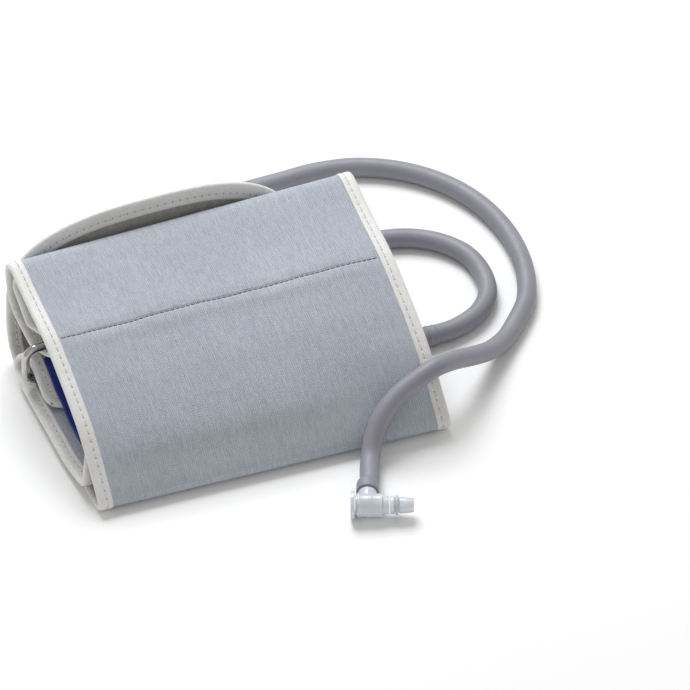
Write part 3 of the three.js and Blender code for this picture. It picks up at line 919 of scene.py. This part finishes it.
def hose_boot():
    """Tapered, ribbed strain relief at the cuff's edge."""
    groove = BOOT_RIB - 0.22
    profile = [(71.2, 0), (71.2, 3.6), (71.6, 4.0)]
    for k in range(5):
        x = 73 + 2.0 * k
        profile += [(x - 0.7, BOOT_RIB), (x + 0.5, BOOT_RIB), (x + 0.8, groove), (x + 1.1, groove)]
    profile += [(83.6, 4.0), (84.2, 3.8), (84.2, 0)]
    matrix = Matrix.Translation(row(0, HOSE_EXIT[1], HOSE_EXIT[2]))
    obj = lathe("hose_boot_ribbed", profile, matrix)
    return finish_piece(obj, MATERIALS["hose"], "root", ("hose_boot",))


def hose_sleeve():
    """The collar on the hose's end, at the elbow."""
    turn = plug_matrix() @ Matrix.Rotation(math.pi / 2, 4, "Z")
    profile = rounded([(6.9, 0), (6.9, 4.35), (11.2, 4.2), (12.4, 3.85), (12.4, 0)], 0.5)
    obj = lathe("hose_end_sleeve", profile, turn)
    return finish_piece(obj, MATERIALS["hose"], "root", ("hose_sleeve",))


def join_solids(main, other):
    """Adds one closed mesh to another as a single solid."""
    modifier = main.modifiers.new("join", "BOOLEAN")
    modifier.operation, modifier.object, modifier.solver = "UNION", other, "EXACT"
    graph = bpy.context.evaluated_depsgraph_get()
    joined = bpy.data.meshes.new_from_object(main.evaluated_get(graph))
    main.modifiers.clear()
    main.data = joined
    bpy.data.objects.remove(other)


def plug():
    """Elbow body with its cap flange, nozzle and seal; the hose comes in along local +Y."""
    here = plug_matrix()
    side = here @ Matrix.Rotation(math.pi / 2, 4, "Z")
    barrel = [(-4.6, 0), (-4.6, 3.9), (-3.9, 3.9), (-3.9, 4.6), (-3.0, 4.6), (-2.8, 4.45), (0.6, 4.45),
              (0.8, 4.6), (1.5, 4.6), (1.7, 4.45), (4.7, 4.45), (4.9, 4.6), (5.6, 4.6), (5.6, 3.4),
              (8.2, 3.4), (8.2, 0)]
    elbow = lathe("plug_elbow_body", rounded(barrel, 0.18, 3), here, 64)
    neck = lathe("neck", rounded([(0, 0), (0, 3.6), (6.6, 3.6), (6.6, 0)], 0.25), side, 48)
    join_solids(elbow, neck)
    cap = [(-6.4, 0), (-6.4, 1.6), (-6.05, 1.9), (-6.05, 4.2), (-6.4, 4.5), (-6.4, 5.4), (-4.9, 5.4),
           (-4.9, 0)]
    flange = lathe("plug_end_flange", rounded(cap, 0.2, 3), here, 64)
    tip = [(8.5, 0), (8.5, 3.4), (10.2, 3.4), (10.2, 2.75), (12, 2.75), (12, 3.2), (15.2, 3.05),
           (17.5, 2.6), (17.5, 0)]
    nozzle = lathe("plug_nozzle_tip", rounded(tip, 0.2, 3), here, 48)
    seal_x, seal_r, seal_wire = 11.1, 3.25, 0.6
    section = np.linspace(0, 2 * math.pi, 16, endpoint=False)
    rings = [[(seal_x + seal_wire * math.cos(a), (seal_r + seal_wire * math.sin(a)) * math.cos(b),
               (seal_r + seal_wire * math.sin(a)) * math.sin(b)) for a in section]
             for b in np.linspace(0, 2 * math.pi, 64, endpoint=False)]
    seal = sweep("nozzle_seal_ring", np.array(rings) * MM, closed_path=True)
    seal.data.transform(here)
    for obj, look, slot, node in (
        (elbow, "clear", "plug_plastic", "plug_elbow"), (flange, "clear", "plug_plastic", "plug_flange"),
        (nozzle, "clear", "plug_plastic", "plug_nozzle"), (seal, "seal", "seal_rubber", "nozzle_seal"),
    ):
        obj.data.materials.clear()
        finish_piece(obj, MATERIALS[look], "plug", (node,))
        obj.data.polygons.foreach_set("use_smooth", [True] * len(obj.data.polygons))
        obj.modifiers.new("split", "EDGE_SPLIT").split_angle = math.radians(32)
    return [elbow, flange, nozzle, seal]


def port():
    """The bladder's own flat port keeps its CAD shape."""
    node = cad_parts["bladder_port"]
    node.data.materials.clear()
    node.data.materials.append(MATERIALS["film"])


stage()
hose()
cloth()
binding()
binding_stitches()
seam_stitches()
tab_stitches()
bladder()
label()
hook_patch()
ring()
port()
